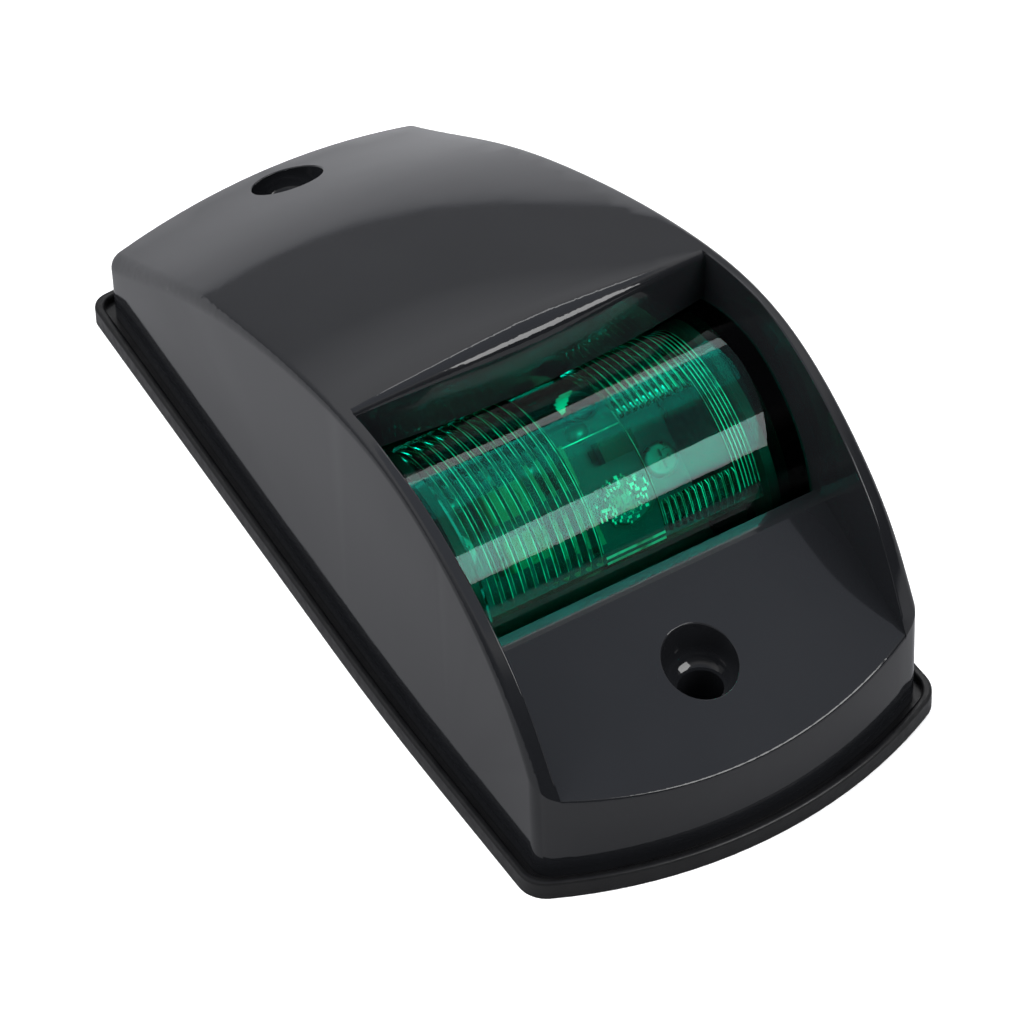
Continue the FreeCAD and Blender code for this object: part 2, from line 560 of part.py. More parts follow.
def make_heat_sink():
    """Bent bracket: sloping face behind the board, upright back, flat foot."""
    half = SINK_W / 2
    rise = math.radians(90.0 - BOARD_TILT)
    up = (math.cos(rise), math.sin(rise))
    out = (math.sin(rise), -math.cos(rise))
    depth = BOARD_T + PAD_T
    face_y = BOARD_Y + out[0] * depth
    face_z = BOARD_Z + out[1] * depth
    reach = BOARD_L / 2 + SINK_LIP
    foot = GASKET_T + PLATE_T
    low_run = (face_z - foot) / up[1]
    low_y = face_y - up[0] * low_run
    top = (face_y + up[0] * reach, face_z + up[1] * reach)
    inner_low_y = low_y + SINK_T / math.sin(rise)
    inner_top_z = foot + (SINK_BACK_Y - inner_low_y) * math.tan(rise)
    profile = [(low_y, foot), top, (SINK_BACK_Y + SINK_T, top[1]),
               (SINK_BACK_Y + SINK_T, foot + SINK_T), (SINK_FOOT_Y, foot + SINK_T),
               (SINK_FOOT_Y, foot), (SINK_BACK_Y, foot), (SINK_BACK_Y, inner_top_z),
               (inner_low_y, foot)]
    body = slab_x(profile, -half, half)
    for x in (-BOARD_SCREW_X, BOARD_SCREW_X):
        hole = board_frame(rod_z(x, 0, BOARD_SCREW_R, -BOARD_T - 2.0 * SINK_T, 0.0))
        body = body.cut(hole)
    for x in (-SINK_SCREW_X, SINK_SCREW_X):
        body = body.cut(rod_z(x, SINK_SCREW_Y, THREAD_R, 0.0, foot + 2.0 * SINK_T))
    return body


def on_board(x, y, wide, long, tall):
    """Box standing on the board's face, centred at x, y."""
    return block(x - wide / 2, x + wide / 2, y - long / 2, y + long / 2, 0.0, tall)


def make_led(y):
    """Surface-mounted LED: square frame round a shallow cup of phosphor."""
    size, tall = 5.0, 1.6
    cup_r, cup_deep, phosphor = 2.0, 0.5, 0.35
    floor = tall - cup_deep
    body = on_board(0, y, size, size, tall)
    body = body.cut(rod_z(0, y, cup_r, floor, tall))
    body = body.fuse(rod_z(0, y, cup_r, floor, floor + phosphor))
    return board_frame(body.removeSplitter())


def make_chip():
    """Eight-leg driver chip."""
    x, y = -7.2, 2.8
    wide, long, tall, lift = 3.9, 4.9, 1.5, 0.15
    pitch, legs = 1.27, 4
    leg_w, leg_l, leg_t = 0.42, 1.1, 0.25
    foot_x, shoulder_in, shoulder_out, shoulder_z = 2.45, 1.9, 2.2, 0.8
    body = block(x - wide / 2, x + wide / 2, y - long / 2, y + long / 2, lift, tall)
    for i in range(legs):
        row = y + pitch * (i - (legs - 1) / 2.0)
        for side in (-1, 1):
            near, far = sorted((x + side * shoulder_in, x + side * shoulder_out))
            foot = on_board(x + side * foot_x, row, leg_l, leg_w, leg_t)
            shoulder = block(near, far, row - leg_w / 2, row + leg_w / 2, 0.0, shoulder_z)
            body = body.fuse([foot, shoulder])
    return board_frame(body.removeSplitter())


def make_diode():
    """Diode that guards against crossed supply leads, with its two feet."""
    x, y = 8.6, 3.6
    wide, long, tall = 4.6, 2.7, 2.2
    foot_x, foot_w, foot_l, foot_t = 2.5, 1.0, 1.5, 0.3
    body = on_board(x, y, wide, long, tall)
    for side in (-1, 1):
        body = body.fuse(on_board(x + side * foot_x, y, foot_w, foot_l, foot_t))
    return board_frame(body.removeSplitter())


def make_resistor(x):
    """Chip resistor with wrapped metal ends."""
    y = -3.6
    wide, long, tall = 1.6, 3.2, 0.55
    end_y, end_w, end_l, end_t = 1.45, 1.64, 0.5, 0.6
    body = on_board(x, y, wide, long, tall)
    for side in (-1, 1):
        body = body.fuse(on_board(x, y + side * end_y, end_w, end_l, end_t))
    return board_frame(body.removeSplitter())


def make_capacitor():
    """Can capacitor on its square plastic foot."""
    x, y = 7.3, -2.6
    foot_w, foot_t = 5.0, 0.9
    can_r, can_low, can_high, rim_r = 2.4, 0.8, 4.2, 0.4
    can = rod_z(x, y, can_r, can_low, can_high)
    can = can.makeFillet(rim_r, edges_where(can, lambda box: box.ZMin > can_high - rim_r))
    foot = on_board(x, y, foot_w, foot_w, foot_t)
    return board_frame(foot.fuse(can).removeSplitter())


def make_solder_pads():
    """Two solder mounds where the supply leads join the board."""
    ball_r, sunk = 1.6, 0.7
    mounds = []
    for x in (-SOLDER_X, SOLDER_X):
        ball = Part.makeSphere(ball_r, V(x, SOLDER_Y, -sunk))
        mounds.append(ball.common(block(x - ball_r, x + ball_r, SOLDER_Y - ball_r,
                                        SOLDER_Y + ball_r, 0.0, ball_r)))
    return board_frame(Part.Compound(mounds))


def make_board_screws():
    """Two pan-head screws holding the board to the bracket."""
    screws = []
    for x in (-BOARD_SCREW_X, BOARD_SCREW_X):
        head = rod_z(x, 0, PAN_HEAD_R, 0.0, PAN_HEAD_H)
        rims = edges_where(head, lambda box: box.ZMin > PAN_HEAD_H / 2.0)
        head = cut_cross(head.makeFillet(PAN_ROUND, rims), x, 0, PAN_CROSS,
                         PAN_CROSS_LOW, PAN_HEAD_H)
        shank = rod_z(x, 0, BOARD_SCREW_R, -BOARD_SCREW_DEEP, PAN_CROSS_LOW / 2)
        screws.append(head.fuse(shank).removeSplitter())
    return board_frame(Part.Compound(screws))


def make_cable_grommet():
    """Rubber bush in the back plate, open for the supply lead."""
    top = GASKET_T + PLATE_T
    lip_top = top + GROMMET_LIP_T
    body = rod_z(0, GROMMET_Y, GROMMET_R, GASKET_T, top)
    body = body.fuse(rod_z(0, GROMMET_Y, GROMMET_LIP_R, top, lip_top))
    body = body.fuse(rod_z(0, GROMMET_Y, GROMMET_LIP_R, GASKET_T - GROMMET_LIP_T, GASKET_T))
    neck = Part.makeCone(GROMMET_R, GROMMET_NECK_R, GROMMET_NECK_L, V(0, GROMMET_Y, lip_top))
    body = body.fuse(neck)
    body = body.cut(rod_z(0, GROMMET_Y, GROMMET_BORE_R, 0.0, HIGH_Z))
    return body.removeSplitter()


NODES = {
    "base_gasket": make_base_gasket,
    "housing": make_housing,
    "back_plate": make_back_plate,
    "plate_screws": make_plate_screws,
    "lens": make_lens,
    "lens_seal": make_lens_seal,
    "fresnel_optic": make_fresnel_optic,
    "cutoff_screen_left": lambda: make_cutoff_screen(-1),
    "cutoff_screen_right": lambda: make_cutoff_screen(1),
    "heat_sink": make_heat_sink,
    "bracket_screws": make_bracket_screws,
    "thermal_pad": make_thermal_pad,
    "circuit_board": make_circuit_board,
    "board_screws": make_board_screws,
    "led_upper": lambda: make_led(LED_SPACING / 2),
    "led_lower": lambda: make_led(-LED_SPACING / 2),
    "driver_chip": make_chip,
    "reverse_diode": make_diode,
    "resistor_left": lambda: make_resistor(LEFT_RESISTOR_X),
    "resistor_right": lambda: make_resistor(RIGHT_RESISTOR_X),
    "capacitor": make_capacitor,
    "solder_pads": make_solder_pads,
    "cable_grommet": make_cable_grommet,
}

os.makedirs("parts", exist_ok=True)
for name, make in NODES.items():
    shape = make()
    print(name, len(shape.Solids), shape.isValid(), round(shape.Volume, 1))
    shape.exportStep("parts/" + name + ".step")
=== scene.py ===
"""Looks of the navigation light: materials, studio and camera round the CAD frame."""

import math

import bpy
from mathutils import Matrix, Vector


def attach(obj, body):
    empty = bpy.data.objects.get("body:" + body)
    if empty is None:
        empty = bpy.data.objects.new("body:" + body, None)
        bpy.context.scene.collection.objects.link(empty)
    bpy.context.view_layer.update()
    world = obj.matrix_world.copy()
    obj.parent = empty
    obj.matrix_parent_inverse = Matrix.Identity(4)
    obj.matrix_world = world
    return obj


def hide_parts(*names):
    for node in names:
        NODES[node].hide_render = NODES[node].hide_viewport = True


# Camera above the front left corner, in the light's own frame, metres
CAMERA_PLACE = (-0.27568, -0.48507, 0.59143)
CAMERA_RIGHT = (0.85296652, -0.52122471, -0.02780149)
CAMERA_UP = (0.39508036, 0.60989288, 0.68698048)
CAMERA_BACK = (-0.34111527, -0.59695517, 0.72614385)
CAMERA_LENS, SENSOR = 240.0, 36.0           # millimetres
NEAREST_SEEN = 0.01

FLOOR_SIZE = 6.0
PAPER_GLOW = 0.32                           # light the pale paper gives back to the eye

CLEAR_IOR = 1.49                            # acrylic and similar mouldings

# The lens colour is darkened where its wall runs down into the foot, a painted shade of the
# dim inside below, metres
LENS_FOOT_LOW, LENS_FOOT_HIGH, LENS_FOOT_SHADE = 0.0190, 0.0245, 0.22

# Borders between the moulding's faces are welded, and shaded evenly where they turn less
# than this, except at the crease between the recess floor and its ledge, metres
WELD_DISTANCE = 0.000002
SMOOTH_ANGLE = math.radians(28.0)
LEDGE_Y, LEDGE_Z, LEDGE_REACH = -0.0342, 0.02095, 0.0004

# Where the moulding's edges are rolled, metres
ROLL_ANGLE, ROLL_WIDTH, ROLL_SEGMENTS = math.radians(35.0), 0.00022, 2
RIM_SIDE, RIM_REAR = 0.020, -0.0098         # rims of the side fins
FLOOR_SLOPE, RIM_OVER_FLOOR = 0.394, 0.0354  # rims stand this far over the floor
BOWL_SIDE, BOWL_END, BOWL_LOW = 0.005, 0.037, 0.0148    # bowls of the screw heads

MM = 0.001

# Ribbed optic under the lens, millimetres, turned about the lens axis
AXIS_Y, AXIS_Z = -15.2, 17.25
OPTIC_INNER, OPTIC_SKIN = 12.2, 13.55
OPTIC_HALF = 18.3
OPTIC_FROM, OPTIC_TO, OPTIC_STEP = 12.0, 134.0, 1.5
WINDOW_LEFT, WINDOW_RIGHT = -3.2, 5.4       # plain window between the ribs
WINDOW_SLICES, WINDOW_EDGE = 40, 0.3
PANEL_RIGHT = 15.4                          # plain panel right of the window
PANEL_LOW, PANEL_HIGH = 32.0, 78.0          # degrees over which it reaches
PANEL_EDGE = 0.2
COARSE_PITCH, FINE_PITCH, EDGE_PITCH = 1.45, 0.92, 0.5
RIB_HEIGHT, CREST_WIDTH = 0.6, 0.1
RIB_RISE, RIB_TOP, RIB_FOOT = 0.24, 0.74, 0.12    # shares of the pitch and the height
RIB_GAP = 0.02
EDGE_RIB_HEIGHT = 0.16
LINE_HEIGHT, LINE_NEAR, LINE_FAR = 0.16, 0.1, 0.24    # fine line along a block's edge, a low ridge carrying a painted highlight
BLOCK_GAP = 0.3
BAR_ANGLES, BAR_SPAN = (14.0, 17.0, 75.0), 0.7    # cross bars of the window, drawn only as painted highlight lines, degrees
BAR_SLACK = 0.01
PAINTED_LINES_FROM = 20.0                           # below this the ribs carry no painted highlight
FOOT_ANGLE, FOOT_BLEND = 15.0, 5.0          # plain foot below the ribs
DOMES = ((2.3, 94.0, 2.4), (1.4, 40.0, 2.6))  # x, angle and radius of the two lenslets
DOME_HEIGHT = 0.5
GLINT_FROM = 0.5                            # share of the radius where the painted glint begins
SPECKLE_X, SPECKLE_ANGLE = 1.4, 40.0        # middle of the painted broken reflections
SPECKLE_WIDE, SPECKLE_TALL = 4.2, 12.0
SPECKLE_SEED, SPECKLE_SPREAD = 12.9898, 43758.5
SPECKLE_LEVEL, SPECKLE_THIN = 0.42, 0.5     # facets left without painted reflection at the middle and outwards
SHARP_ANGLE = math.radians(25.0)

# Finishes of opaque surfaces. sockets: even values of the shader. mottle: cells in a metre
# and detail. gloss: cells, detail, lowest and highest roughness. relief: cells, detail,
# depth in metres, strength. grain: stretch of all three along x, y and z
EVEN = (1.0, 1.0, 1.0)
METAL = {"Metallic": 1.0}
FINISHES = {
    "polished": {"sockets": {"IOR": CLEAR_IOR, "Specular IOR Level": 0.42},
                 "mottle": (60.0, 2.0), "gloss": (220.0, 4.0, 0.05, 0.08),
                 "relief": (320.0, 2.0, 0.00001, 0.25), "grain": EVEN},
    "rubber": {"sockets": {"Specular IOR Level": 0.3},
               "mottle": (400.0, 2.0), "gloss": (900.0, 3.0, 0.28, 0.42),
               "relief": (2600.0, 3.0, 0.00003, 0.5), "grain": EVEN},
    "satin": {"sockets": {},
              "mottle": (300.0, 2.0), "gloss": (700.0, 3.0, 0.4, 0.6),
              "relief": (1800.0, 3.0, 0.00003, 0.4), "grain": EVEN},
    "lacquer": {"sockets": {},
                "mottle": (500.0, 3.0), "gloss": (800.0, 3.0, 0.3, 0.45),
                "relief": (1500.0, 2.0, 0.00001, 0.3), "grain": EVEN},
    "brushed": {"sockets": METAL,
                "mottle": (600.0, 3.0), "gloss": (900.0, 3.0, 0.4, 0.55),
                "relief": (1500.0, 2.0, 0.00001, 0.3), "grain": (0.05, 1.0, 1.0)},
    "plated": {"sockets": METAL,
               "mottle": (600.0, 3.0), "gloss": (900.0, 3.0, 0.25, 0.4),
               "relief": (1500.0, 2.0, 0.00001, 0.3), "grain": EVEN},
    "tinned": {"sockets": METAL,
               "mottle": (600.0, 3.0), "gloss": (900.0, 3.0, 0.3, 0.45),
               "relief": (1500.0, 2.0, 0.00001, 0.3), "grain": EVEN},
}

# Opaque pieces: nodes, material, finish, darkest and lightest colour
MATT = ((0.008, 0.008, 0.008), (0.016, 0.016, 0.016))
SURFACES = (
    (("housing",), "gloss_black", "polished",
     (0.0100, 0.0106, 0.0122), (0.0118, 0.0125, 0.0142)),
    (("base_gasket", "cable_grommet", "lens_seal"), "gasket_rubber", "rubber",
     (0.0035, 0.0035, 0.004), (0.007, 0.007, 0.0075)),
    (("back_plate",), "back_plate_black", "satin", *MATT),
    (("cutoff_screen_left", "cutoff_screen_right"), "screen_black", "satin", *MATT),
    (("driver_chip", "reverse_diode", "resistor_left", "resistor_right"),
     "component_black", "satin", *MATT),
    (("heat_sink",), "anodised", "brushed", (0.08, 0.08, 0.09), (0.12, 0.12, 0.13)),
    (("plate_screws", "bracket_screws", "board_screws"), "screw_steel", "plated",
     (0.3, 0.3, 0.3), (0.42, 0.42, 0.41)),
    (("solder_pads",), "solder", "tinned", (0.3, 0.3, 0.29), (0.42, 0.42, 0.41)),
    (("capacitor",), "can", "lacquer", (0.06, 0.06, 0.07), (0.10, 0.10, 0.11)),
    (("circuit_board",), "board_mask", "lacquer",
     (0.03, 0.042, 0.065), (0.045, 0.06, 0.09)),
    (("led_upper", "led_lower"), "led_phosphor", "lacquer",
     (0.24, 0.22, 0.12), (0.30, 0.28, 0.16)),
    (("thermal_pad",), "pad", "lacquer", (0.3, 0.34, 0.38), (0.36, 0.4, 0.45)),
)

# Tone of the studio walls by height on the sky dome, horizon 0 to zenith 1
WALL_TONES = ((0.0, (0.22, 0.22, 0.23)), (0.26, (0.34, 0.34, 0.35)),
              (0.42, (0.80, 0.80, 0.82)), (0.68, (0.95, 0.94, 0.94)),
              (0.76, (0.48, 0.50, 0.55)), (1.0, (0.42, 0.45, 0.52)))
# Dark room in front: how far back it reaches, how high it reaches, and its share of light
FRONT_DARK, FRONT_CLEAR = -0.35, 0.1
HIGH_DARK, HIGH_CLEAR = 0.5, 0.75
DARK_SHARE = 0.12

# Soft boxes: name, azimuth, elevation, distance, width, height, power, seen in gloss
LAMPS = (("key", 27.0, 34.0, 0.8, 0.45, 0.32, 3.5, True),
         ("rear", 147.0, 54.0, 0.8, 0.62, 0.1, 0.9, True),
         ("overhead", 180.0, 68.0, 2.0, 2.0, 2.0, 34.0, False),
         ("fill", -95.0, 35.0, 1.5, 1.2, 1.2, 15.0, False))
LAMP_TARGET = (0.0, -0.015, 0.02)


def new_material(name):
    """An empty node material with its Principled shader."""
    material = bpy.data.materials.new(name)
    material.use_nodes = True
    tree = material.node_tree
    tree.nodes.clear()
    output = tree.nodes.new("ShaderNodeOutputMaterial")
    shader = tree.nodes.new("ShaderNodeBsdfPrincipled")
    tree.links.new(shader.outputs["BSDF"], output.inputs["Surface"])
    return material, tree, shader


def texture_place(tree, scale=(1.0, 1.0, 1.0)):
    """Object coordinates, in metres, stretched by scale."""
    coords = tree.nodes.new("ShaderNodeTexCoord")
    mapping = tree.nodes.new("ShaderNodeMapping")
    mapping.inputs["Scale"].default_value = scale
    tree.links.new(coords.outputs["Object"], mapping.inputs["Vector"])
    return mapping.outputs["Vector"]


def noise(tree, place, scale, detail=2.0):
    """Noise texture of that many cells in a metre."""
    node = tree.nodes.new("ShaderNodeTexNoise")
    node.inputs["Scale"].default_value = scale
    node.inputs["Detail"].default_value = detail
    tree.links.new(place, node.inputs["Vector"])
    return node.outputs["Fac"]


def spread(tree, value, low, high, from_low=0.3, from_high=0.7):
    """Value moved from one range to another."""
    node = tree.nodes.new("ShaderNodeMapRange")
    node.inputs["From Min"].default_value = from_low
    node.inputs["From Max"].default_value = from_high
    node.inputs["To Min"].default_value = low
    node.inputs["To Max"].default_value = high
    tree.links.new(value, node.inputs["Value"])
    return node.outputs["Result"]


def colours(tree, value, dark, light, low=0.3, high=0.7):
    """Colour ramp between two colours."""
    ramp = tree.nodes.new("ShaderNodeValToRGB")
    ramp.color_ramp.elements[0].position = low
    ramp.color_ramp.elements[0].color = (*dark, 1.0)
    ramp.color_ramp.elements[1].position = high
    ramp.color_ramp.elements[1].color = (*light, 1.0)
    tree.links.new(value, ramp.inputs["Fac"])
    return ramp.outputs["Color"]


def bump(tree, shader, height, distance, strength):
    """Fine relief, distance in metres."""
    node = tree.nodes.new("ShaderNodeBump")
    node.inputs["Strength"].default_value = strength
    node.inputs["Distance"].default_value = distance
    tree.links.new(height, node.inputs["Height"])
    tree.links.new(node.outputs["Normal"], shader.inputs["Normal"])


def opaque(name, finish, dark, light):
    """Opaque surface with mottled colour, uneven gloss and fine relief."""
    material, tree, shader = new_material(name)
    place = texture_place(tree, finish["grain"])
    for socket, value in finish["sockets"].items():
        shader.inputs[socket].default_value = value
    tree.links.new(colours(tree, noise(tree, place, *finish["mottle"]), dark, light),
                   shader.inputs["Base Color"])
    cells, detail, low, high = finish["gloss"]
    tree.links.new(spread(tree, noise(tree, place, cells, detail), low, high),
                   shader.inputs["Roughness"])
    cells, detail, depth, strength = finish["relief"]
    bump(tree, shader, noise(tree, place, cells, detail), depth, strength)
    return material


def lamps_pass(tree, shader, tint):
    """Let light from lamps through the glass, tinted, so that the inside is lit."""
    path = tree.nodes.new("ShaderNodeLightPath")
    clear = tree.nodes.new("ShaderNodeBsdfTransparent")
    clear.inputs["Color"].default_value = (*tint, 1.0)
    mix = tree.nodes.new("ShaderNodeMixShader")
    output = tree.nodes["Material Output"]
    tree.links.new(path.outputs["Is Shadow Ray"], mix.inputs[0])
    tree.links.new(shader.outputs["BSDF"], mix.inputs[1])
    tree.links.new(clear.outputs["BSDF"], mix.inputs[2])
    tree.links.new(mix.outputs["Shader"], output.inputs["Surface"])


def green_lens():
    """Green transparent moulding of the outer lens, its colour darkened at its foot as painted
    shade.
    """
    material, tree, shader = new_material("green_lens")
    place = texture_place(tree)
    shader.inputs["IOR"].default_value = CLEAR_IOR
    shader.inputs["Transmission Weight"].default_value = 1.0
    shader.inputs["Specular Tint"].default_value = (0.38, 0.39, 0.4, 1.0)
    # Painted shade: the lens colour is multiplied darker towards its foot
    depth = tree.nodes.new("ShaderNodeMix")
    depth.data_type = "RGBA"
    depth.blend_type = "MULTIPLY"
    depth.inputs["Factor"].default_value = 1.0
    split = tree.nodes.new("ShaderNodeSeparateXYZ")
    tree.links.new(place, split.inputs[0])
    foot = spread(tree, split.outputs["Z"], LENS_FOOT_SHADE, 1.0, LENS_FOOT_LOW, LENS_FOOT_HIGH)
    tree.links.new(colours(tree, noise(tree, place, 90.0), (0.0, 0.68, 0.53),
                           (0.0, 0.74, 0.58)), depth.inputs[6])
    tree.links.new(foot, depth.inputs[7])
    tree.links.new(depth.outputs[2], shader.inputs["Base Color"])
    tree.links.new(spread(tree, noise(tree, place, 150.0), 0.0, 0.03),
                   shader.inputs["Roughness"])
    lamps_pass(tree, shader, (0.01, 0.80, 0.60))
    return material


def clear_optic():
    """Clear moulding of the ribbed inner optic."""
    material, tree, shader = new_material("clear_optic")
    place = texture_place(tree)
    shader.inputs["IOR"].default_value = CLEAR_IOR
    shader.inputs["Transmission Weight"].default_value = 1.0
    shader.inputs["Specular Tint"].default_value = (0.3, 0.3, 0.3, 1.0)
    tree.links.new(colours(tree, noise(tree, place, 90.0), (0.9, 0.93, 0.92),
                           (0.95, 0.97, 0.96)), shader.inputs["Base Color"])
    tree.links.new(spread(tree, noise(tree, place, 300.0), 0.02, 0.08),
                   shader.inputs["Roughness"])
    lamps_pass(tree, shader, (0.95, 0.95, 0.95))
    return material


def painted_highlight_crest():
    """Rounded tips of the ribs, painted pale as a highlight; the same painted highlight marks
    the edge lines, cross bars, the lenslet's glint and the speckles.
    """
    material, tree, shader = new_material("painted_highlight_crest")
    place = texture_place(tree)
    shader.inputs["IOR"].default_value = CLEAR_IOR
    shader.inputs["Transmission Weight"].default_value = 0.1
    # Painted highlight: pale colours stand in for light the clear ribs throw back
    tree.links.new(colours(tree, noise(tree, place, 350.0, 3.0), (0.2, 0.26, 0.17),
                           (1.0, 1.0, 0.76), 0.4, 0.56), shader.inputs["Base Color"])
    shader.inputs["Roughness"].default_value = 0.25
    return material


def rib_columns(start, end, pitch, height):
    """Stations across one block of ribs: (x, height, painted highlight begins here)."""
    count = round((end - start) / pitch)
    step = (end - start) / count
    foot = RIB_FOOT * height
    columns = []
    for i in range(count):
        x = start + i * step
        columns.append((x + RIB_GAP, 0.0, False))
        columns.append((x + step * RIB_RISE, foot, height > LINE_HEIGHT))
        columns.append((x + step * RIB_RISE + CREST_WIDTH / 2, foot, False))
        columns.append((x + step * RIB_TOP, height, True))
        columns.append((x + step * RIB_TOP + CREST_WIDTH, height, False))
        columns.append((x + step - RIB_GAP, foot, False))
    return columns


def optic_columns():
    """Stations across the whole optic, left to right."""
    columns = [(-OPTIC_HALF, 0.0, False)]
    columns += rib_columns(-OPTIC_HALF + BLOCK_GAP, WINDOW_LEFT, COARSE_PITCH, RIB_HEIGHT)
    columns += [(WINDOW_LEFT + LINE_NEAR, LINE_HEIGHT, True),
                (WINDOW_LEFT + LINE_FAR, 0.0, False)]
    for i in range(1, WINDOW_SLICES):
        x = WINDOW_LEFT + (WINDOW_RIGHT - WINDOW_LEFT) * i / WINDOW_SLICES
        columns.append((x, 0.0, False))
    columns += [(WINDOW_RIGHT - LINE_FAR, 0.0, False),
                (WINDOW_RIGHT - LINE_NEAR, LINE_HEIGHT, True)]
    columns += rib_columns(WINDOW_RIGHT, PANEL_RIGHT, FINE_PITCH, RIB_HEIGHT)
    columns += [(PANEL_RIGHT + LINE_NEAR, LINE_HEIGHT, True),
                (PANEL_RIGHT + LINE_FAR, 0.0, False)]
    columns += rib_columns(PANEL_RIGHT + BLOCK_GAP, OPTIC_HALF - LINE_NEAR, EDGE_PITCH,
                           EDGE_RIB_HEIGHT)
    columns.append((OPTIC_HALF, 0.0, False))
    return columns


def optic_angles():
    """Rows round the optic, with two close together at each cross bar."""
    rows = round((OPTIC_TO - OPTIC_FROM) / OPTIC_STEP)
    angles = [OPTIC_FROM + OPTIC_STEP * j for j in range(rows + 1)]
    for bar in BAR_ANGLES:
        angles = [a for a in angles if abs(a - bar) > BAR_SPAN]
        angles += [bar - BAR_SPAN / 2, bar + BAR_SPAN / 2]
    return sorted(angles)


def dome_lift(x, angle):
    """Height of the two lenslets in the plain window."""
    lift = 0.0
    for dome_x, dome_angle, radius in DOMES:
        along = math.radians(angle - dome_angle) * OPTIC_SKIN
        reach = math.hypot(x - dome_x, along) / radius
        if reach < 1.0:
            lift = DOME_HEIGHT * (1.0 - reach * reach)
    return lift


def on_painted_glint(x, angle):
    """True on the upper left flank of the upper lenslet, where a glint is painted."""
    dome_x, dome_angle, radius = DOMES[0]
    across = dome_x - x
    along = math.radians(angle - dome_angle) * OPTIC_SKIN
    return math.hypot(across, along) < radius and across + along > radius * GLINT_FROM


def on_painted_speckle(x, angle, count):
    """True on scattered facets round the lower lenslet, painted as bright broken reflections.
    """
    reach = math.hypot((x - SPECKLE_X) / SPECKLE_WIDE,
                       (angle - SPECKLE_ANGLE) / SPECKLE_TALL)
    chance = math.sin(count * SPECKLE_SEED) * SPECKLE_SPREAD % 1.0
    return reach < 1.0 and on_window(x) and chance > SPECKLE_LEVEL + SPECKLE_THIN * reach


def on_window(x):
    """True over the plain window in the middle."""
    return WINDOW_LEFT + WINDOW_EDGE < x < WINDOW_RIGHT - WINDOW_EDGE


def rib_fade(angle):
    """Ribs die away into the plain foot of the optic."""
    return min(1.0, max(0.0, (angle - FOOT_ANGLE) / FOOT_BLEND))


def on_panel(x, angle):
    """True over the plain panel right of the window."""
    return WINDOW_RIGHT + PANEL_EDGE < x < PANEL_RIGHT and PANEL_LOW < angle < PANEL_HIGH


def ring_point(x, radius, angle):
    """Point about the lens axis; angle 0 faces forward and 90 faces up."""
    turn = math.radians(angle)
    return (x * MM, (AXIS_Y - radius * math.cos(turn)) * MM,
            (AXIS_Z + radius * math.sin(turn)) * MM)


def ribbed_optic(clear, crest):
    """Clear cover with prism ribs, a plain window and a plain side panel."""
    columns = optic_columns()
    angles = optic_angles()
    rows = len(angles) - 1
    across = len(columns)
    points, faces, finish = [], [], []
    for angle in angles:
        for x, height, _ in columns:
            lift = max(height * rib_fade(angle), dome_lift(x, angle))
            lift = 0.0 if on_panel(x, angle) else lift
            points.append(ring_point(x, OPTIC_SKIN + lift, angle))
    back = len(points)
    for angle in angles:
        for x, _, _ in columns:
            points.append(ring_point(x, OPTIC_INNER, angle))
    for j in range(rows):
        for i in range(across - 1):
            a = j * across + i
            faces.append((a, a + 1, a + across + 1, a + across))
            x = columns[i][0]
            # Faces given the second material carry painted highlight: rib tips, edge lines,
            # cross bars, glint and speckles
            bar = angles[j + 1] - angles[j] < BAR_SPAN + BAR_SLACK and on_window(x)
            glint = on_painted_glint(x, angles[j]) or on_painted_speckle(x, angles[j], i + across * j)
            line = columns[i][2] and angles[j] > PAINTED_LINES_FROM and not on_panel(x, angles[j])
            painted_highlight = bar or glint or line
            finish.append(1 if painted_highlight else 0)
            b = back + a
            faces.append((b, b + across, b + across + 1, b + 1))
            finish.append(0)
    for i in range(across - 1):
        a, b = i, rows * across + i
        faces.append((a, back + a, back + a + 1, a + 1))
        faces.append((b, b + 1, back + b + 1, back + b))
        finish += [0, 0]
    for j in range(rows):
        a, b = j * across, j * across + across - 1
        faces.append((a, a + across, back + a + across, back + a))
        faces.append((b, back + b, back + b + across, b + across))
        finish += [0, 0]
    mesh = bpy.data.meshes.new("ribbed_optic")
    mesh.from_pydata(points, [], faces)
    mesh.materials.append(clear)
    mesh.materials.append(crest)
    mesh.polygons.foreach_set("material_index", finish)
    mesh.shade_smooth()
    mesh.set_sharp_from_angle(angle=SHARP_ANGLE)
    optic = bpy.data.objects.new("ribbed_optic", mesh)
    bpy.context.scene.collection.objects.link(optic)
    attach(optic, "root")
    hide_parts("fresnel_optic")


def dress(nodes, names, material):
    """Give CAD nodes a material."""
    for name in names:
        mesh = nodes[name].data
        mesh.materials.clear()
        mesh.materials.append(material)


def make_camera():
    """Camera that looks down on the light from its front left corner."""
    data = bpy.data.cameras.new("camera")
    data.sensor_width = SENSOR
    data.lens = CAMERA_LENS
    data.clip_start = NEAREST_SEEN
    camera = bpy.data.objects.new("camera", data)
    bpy.context.scene.collection.objects.link(camera)
    rows = zip(CAMERA_RIGHT, CAMERA_UP, CAMERA_BACK, CAMERA_PLACE)
    camera.matrix_world = Matrix([*rows, (0.0, 0.0, 0.0, 1.0)])
    bpy.context.scene.camera = camera


